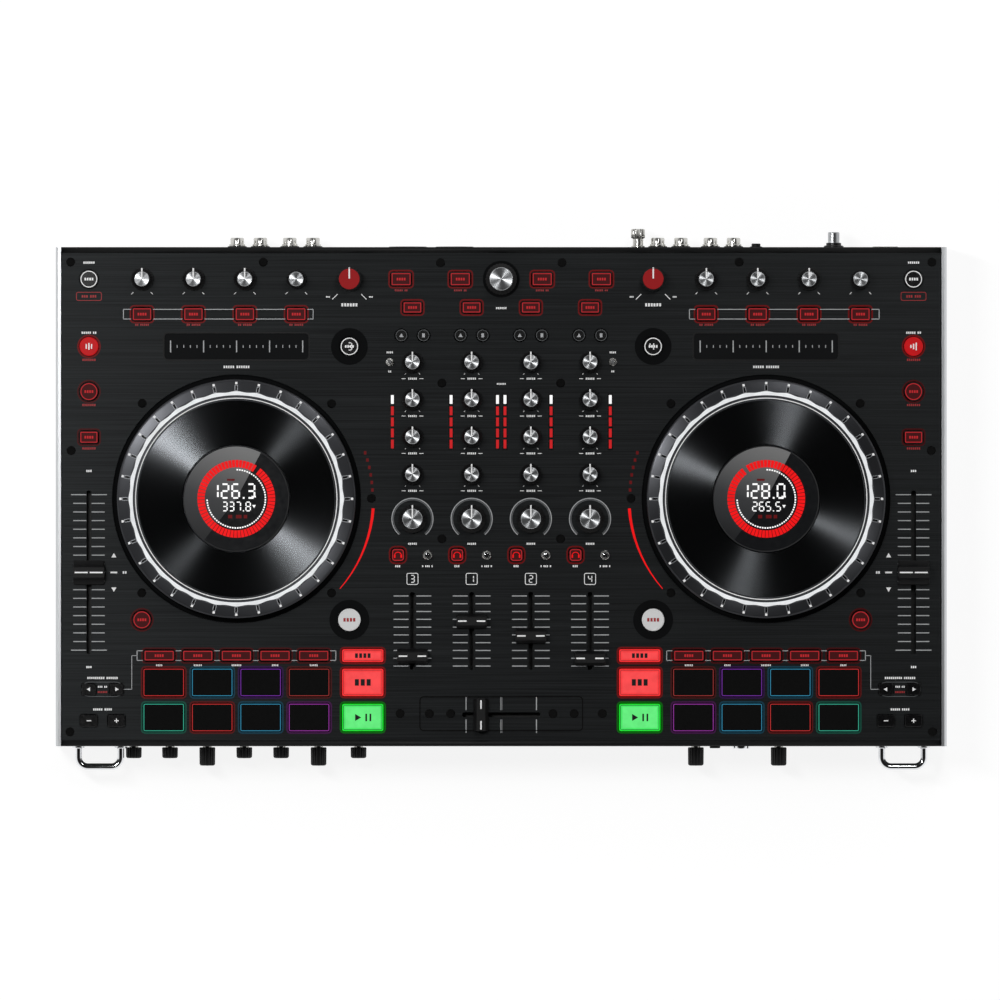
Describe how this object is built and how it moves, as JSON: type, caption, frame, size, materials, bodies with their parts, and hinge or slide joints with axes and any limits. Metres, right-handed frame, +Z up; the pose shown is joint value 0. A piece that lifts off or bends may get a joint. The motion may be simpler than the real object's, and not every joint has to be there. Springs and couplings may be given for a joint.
{
  "type": "dj controller",
  "caption": "Flat, wide DJ controller: jog wheels either side of a mixer of knobs and faders, with lit pads, sockets at the rear and chrome handles at the front.",
  "frame": {"origin": "middle of the overall outline, on the surface that the feet stand on", "axes": "+X towards the right-hand deck, +Y towards the rear sockets, +Z up"},
  "size_m": [0.572, 0.3482, 0.0715],
  "materials": {
    "case_metal": "black powder coat",
    "brushed_panel": "black brushed, lacquered",
    "side_aluminium": "satin anodised",
    "handle_chrome": "polished",
    "display_window": "gloss",
    "jog_metal": "turned and anodised",
    "jog_vinyl": "fine concentric grooves",
    "silicone": "matt",
    "circuit_board": "solder mask",
    "jack_metal": "nickel plated",
    "knob_plastic": "satin",
    "red_plastic": "satin",
    "fader_plastic": "satin",
    "foot_rubber": "matt"
  },
  "bodies": {
    "case": {"bottom_tray": "case_metal", "front_wall": "case_metal", "rear_wall": "case_metal", "top_panel": "brushed_panel", "left_side_panel": "side_aluminium", "right_side_panel": "side_aluminium", "left_front_handle": "handle_chrome", "right_front_handle": "handle_chrome", "main_circuit_board": "circuit_board", "rear_jack_board": "jack_metal", "front_control_bank": "knob_plastic", "front_left_foot": "foot_rubber", "front_right_foot": "foot_rubber", "rear_left_foot": "foot_rubber", "rear_right_foot": "foot_rubber", "left_jog_display": "display_window", "right_jog_display": "display_window"},
    "left_jog": {"left_jog_wheel": "jog_metal"},
    "right_jog": {"right_jog_wheel": "jog_metal"},
    "left_deck_keymat": {"left_deck_keymat": "silicone"},
    "right_deck_keymat": {"right_deck_keymat": "silicone"},
    "mixer_keymat": {"mixer_keymat": "silicone"},
    "browse_knob": {"browse_knob": "knob_plastic"},
    "booth_knob": {"booth_knob": "red_plastic"},
    "master_knob": {"master_knob": "red_plastic"},
    "gain_knob_1": {"gain_knob_1": "knob_plastic"},
    "treble_knob_1": {"treble_knob_1": "knob_plastic"},
    "mid_knob_1": {"mid_knob_1": "knob_plastic"},
    "bass_knob_1": {"bass_knob_1": "knob_plastic"},
    "filter_knob_1": {"filter_knob_1": "knob_plastic"},
    "gain_knob_2": {"gain_knob_2": "knob_plastic"},
    "treble_knob_2": {"treble_knob_2": "knob_plastic"},
    "mid_knob_2": {"mid_knob_2": "knob_plastic"},
    "bass_knob_2": {"bass_knob_2": "knob_plastic"},
    "filter_knob_2": {"filter_knob_2": "knob_plastic"},
    "gain_knob_3": {"gain_knob_3": "knob_plastic"},
    "treble_knob_3": {"treble_knob_3": "knob_plastic"},
    "mid_knob_3": {"mid_knob_3": "knob_plastic"},
    "bass_knob_3": {"bass_knob_3": "knob_plastic"},
    "filter_knob_3": {"filter_knob_3": "knob_plastic"},
    "gain_knob_4": {"gain_knob_4": "knob_plastic"},
    "treble_knob_4": {"treble_knob_4": "knob_plastic"},
    "mid_knob_4": {"mid_knob_4": "knob_plastic"},
    "bass_knob_4": {"bass_knob_4": "knob_plastic"},
    "filter_knob_4": {"filter_knob_4": "knob_plastic"},
    "left_effect_knob_1": {"left_effect_knob_1": "knob_plastic"},
    "right_effect_knob_1": {"right_effect_knob_1": "knob_plastic"},
    "left_effect_knob_2": {"left_effect_knob_2": "knob_plastic"},
    "right_effect_knob_2": {"right_effect_knob_2": "knob_plastic"},
    "left_effect_knob_3": {"left_effect_knob_3": "knob_plastic"},
    "right_effect_knob_3": {"right_effect_knob_3": "knob_plastic"},
    "left_effect_knob_4": {"left_effect_knob_4": "knob_plastic"},
    "right_effect_knob_4": {"right_effect_knob_4": "knob_plastic"},
    "channel_fader_1": {"channel_fader_1": "fader_plastic"},
    "channel_fader_2": {"channel_fader_2": "fader_plastic"},
    "channel_fader_3": {"channel_fader_3": "fader_plastic"},
    "channel_fader_4": {"channel_fader_4": "fader_plastic"},
    "crossfader": {"crossfader": "fader_plastic"},
    "left_pitch_fader": {"left_pitch_fader": "fader_plastic"},
    "right_pitch_fader": {"right_pitch_fader": "fader_plastic"}
  },
  "joints": [
    {"name": "left_jog_spin", "type": "hinge", "parent": "case", "child": "left_jog", "pos_m": [-0.17, 0.00045, 0.056], "axis": [0, 0, 1], "continuous": true},
    {"name": "right_jog_spin", "type": "hinge", "parent": "case", "child": "right_jog", "pos_m": [0.17, 0.00045, 0.056], "axis": [0, 0, 1], "continuous": true},
    {"name": "left_deck_keymat_press", "type": "slide", "parent": "case", "child": "left_deck_keymat", "axis": [0, 0, 1], "range_m": [-0.0012, 0], "stiffness_N_per_m": 2000, "springref_m": 0.0005},
    {"name": "right_deck_keymat_press", "type": "slide", "parent": "case", "child": "right_deck_keymat", "axis": [0, 0, 1], "range_m": [-0.0012, 0], "stiffness_N_per_m": 2000, "springref_m": 0.0005},
    {"name": "mixer_keymat_press", "type": "slide", "parent": "case", "child": "mixer_keymat", "axis": [0, 0, 1], "range_m": [-0.0012, 0], "stiffness_N_per_m": 2000, "springref_m": 0.0005},
    {"name": "browse_knob_turn", "type": "hinge", "parent": "case", "child": "browse_knob", "pos_m": [0, 0.1415, 0.056], "axis": [0, 0, 1], "continuous": true},
    {"name": "booth_knob_turn", "type": "hinge", "parent": "case", "child": "booth_knob", "pos_m": [-0.0975, 0.1415, 0.056], "axis": [0, 0, 1], "range_deg": [-150, 150]},
    {"name": "master_knob_turn", "type": "hinge", "parent": "case", "child": "master_knob", "pos_m": [0.0975, 0.1415, 0.056], "axis": [0, 0, 1], "range_deg": [-150, 150]},
    {"name": "gain_knob_1_turn", "type": "hinge", "parent": "case", "child": "gain_knob_1", "pos_m": [-0.057, 0.0882, 0.056], "axis": [0, 0, 1], "range_deg": [-150, 150]},
    {"name": "treble_knob_1_turn", "type": "hinge", "parent": "case", "child": "treble_knob_1", "pos_m": [-0.057, 0.0642, 0.056], "axis": [0, 0, 1], "range_deg": [-150, 150]},
    {"name": "mid_knob_1_turn", "type": "hinge", "parent": "case", "child": "mid_knob_1", "pos_m": [-0.057, 0.0402, 0.056], "axis": [0, 0, 1], "range_deg": [-150, 150]},
    {"name": "bass_knob_1_turn", "type": "hinge", "parent": "case", "child": "bass_knob_1", "pos_m": [-0.057, 0.0162, 0.056], "axis": [0, 0, 1], "range_deg": [-150, 150]},
    {"name": "filter_knob_1_turn", "type": "hinge", "parent": "case", "child": "filter_knob_1", "pos_m": [-0.057, -0.0124, 0.056], "axis": [0, 0, 1], "range_deg": [-150, 150]},
    {"name": "gain_knob_2_turn", "type": "hinge", "parent": "case", "child": "gain_knob_2", "pos_m": [-0.019, 0.0882, 0.056], "axis": [0, 0, 1], "range_deg": [-150, 150]},
    {"name": "treble_knob_2_turn", "type": "hinge", "parent": "case", "child": "treble_knob_2", "pos_m": [-0.019, 0.0642, 0.056], "axis": [0, 0, 1], "range_deg": [-150, 150]},
    {"name": "mid_knob_2_turn", "type": "hinge", "parent": "case", "child": "mid_knob_2", "pos_m": [-0.019, 0.0402, 0.056], "axis": [0, 0, 1], "range_deg": [-150, 150]},
    {"name": "bass_knob_2_turn", "type": "hinge", "parent": "case", "child": "bass_knob_2", "pos_m": [-0.019, 0.0162, 0.056], "axis": [0, 0, 1], "range_deg": [-150, 150]},
    {"name": "filter_knob_2_turn", "type": "hinge", "parent": "case", "child": "filter_knob_2", "pos_m": [-0.019, -0.0124, 0.056], "axis": [0, 0, 1], "range_deg": [-150, 150]},
    {"name": "gain_knob_3_turn", "type": "hinge", "parent": "case", "child": "gain_knob_3", "pos_m": [0.019, 0.0882, 0.056], "axis": [0, 0, 1], "range_deg": [-150, 150]},
    {"name": "treble_knob_3_turn", "type": "hinge", "parent": "case", "child": "treble_knob_3", "pos_m": [0.019, 0.0642, 0.056], "axis": [0, 0, 1], "range_deg": [-150, 150]},
    {"name": "mid_knob_3_turn", "type": "hinge", "parent": "case", "child": "mid_knob_3", "pos_m": [0.019, 0.0402, 0.056], "axis": [0, 0, 1], "range_deg": [-150, 150]},
    {"name": "bass_knob_3_turn", "type": "hinge", "parent": "case", "child": "bass_knob_3", "pos_m": [0.019, 0.0162, 0.056], "axis": [0, 0, 1], "range_deg": [-150, 150]},
    {"name": "filter_knob_3_turn", "type": "hinge", "parent": "case", "child": "filter_knob_3", "pos_m": [0.019, -0.0124, 0.056], "axis": [0, 0, 1], "range_deg": [-150, 150]},
    {"name": "gain_knob_4_turn", "type": "hinge", "parent": "case", "child": "gain_knob_4", "pos_m": [0.057, 0.0882, 0.056], "axis": [0, 0, 1], "range_deg": [-150, 150]},
    {"name": "treble_knob_4_turn", "type": "hinge", "parent": "case", "child": "treble_knob_4", "pos_m": [0.057, 0.0642, 0.056], "axis": [0, 0, 1], "range_deg": [-150, 150]},
    {"name": "mid_knob_4_turn", "type": "hinge", "parent": "case", "child": "mid_knob_4", "pos_m": [0.057, 0.0402, 0.056], "axis": [0, 0, 1], "range_deg": [-150, 150]},
    {"name": "bass_knob_4_turn", "type": "hinge", "parent": "case", "child": "bass_knob_4", "pos_m": [0.057, 0.0162, 0.056], "axis": [0, 0, 1], "range_deg": [-150, 150]},
    {"name": "filter_knob_4_turn", "type": "hinge", "parent": "case", "child": "filter_knob_4", "pos_m": [0.057, -0.0124, 0.056], "axis": [0, 0, 1], "range_deg": [-150, 150]},
    {"name": "left_effect_knob_1_turn", "type": "hinge", "parent": "case", "child": "left_effect_knob_1", "pos_m": [-0.2306, 0.1415, 0.056], "axis": [0, 0, 1], "range_deg": [-150, 150]},
    {"name": "right_effect_knob_1_turn", "type": "hinge", "parent": "case", "child": "right_effect_knob_1", "pos_m": [0.1316, 0.1415, 0.056], "axis": [0, 0, 1], "range_deg": [-150, 150]},
    {"name": "left_effect_knob_2_turn", "type": "hinge", "parent": "case", "child": "left_effect_knob_2", "pos_m": [-0.1976, 0.1415, 0.056], "axis": [0, 0, 1], "range_deg": [-150, 150]},
    {"name": "right_effect_knob_2_turn", "type": "hinge", "parent": "case", "child": "right_effect_knob_2", "pos_m": [0.1646, 0.1415, 0.056], "axis": [0, 0, 1], "range_deg": [-150, 150]},
    {"name": "left_effect_knob_3_turn", "type": "hinge", "parent": "case", "child": "left_effect_knob_3", "pos_m": [-0.1646, 0.1415, 0.056], "axis": [0, 0, 1], "range_deg": [-150, 150]},
    {"name": "right_effect_knob_3_turn", "type": "hinge", "parent": "case", "child": "right_effect_knob_3", "pos_m": [0.1976, 0.1415, 0.056], "axis": [0, 0, 1], "range_deg": [-150, 150]},
    {"name": "left_effect_knob_4_turn", "type": "hinge", "parent": "case", "child": "left_effect_knob_4", "pos_m": [-0.1316, 0.1415, 0.056], "axis": [0, 0, 1], "continuous": true},
    {"name": "right_effect_knob_4_turn", "type": "hinge", "parent": "case", "child": "right_effect_knob_4", "pos_m": [0.2306, 0.1415, 0.056], "axis": [0, 0, 1], "continuous": true},
    {"name": "channel_fader_1_slide", "type": "slide", "parent": "case", "child": "channel_fader_1", "axis": [0, 1, 0], "range_m": [-0.0064, 0.0386]},
    {"name": "channel_fader_2_slide", "type": "slide", "parent": "case", "child": "channel_fader_2", "axis": [0, 1, 0], "range_m": [-0.0289, 0.0161]},
    {"name": "channel_fader_3_slide", "type": "slide", "parent": "case", "child": "channel_fader_3", "axis": [0, 1, 0], "range_m": [-0.0194, 0.0256]},
    {"name": "channel_fader_4_slide", "type": "slide", "parent": "case", "child": "channel_fader_4", "axis": [0, 1, 0], "range_m": [-0.005, 0.04]},
    {"name": "crossfader_slide", "type": "slide", "parent": "case", "child": "crossfader", "axis": [1, 0, 0], "range_m": [-0.0095, 0.0355]},
    {"name": "left_pitch_fader_slide", "type": "slide", "parent": "case", "child": "left_pitch_fader", "axis": [0, 1, 0], "range_m": [-0.05, 0.05]},
    {"name": "right_pitch_fader_slide", "type": "slide", "parent": "case", "child": "right_pitch_fader", "axis": [0, 1, 0], "range_m": [-0.05, 0.05]}
  ]
}
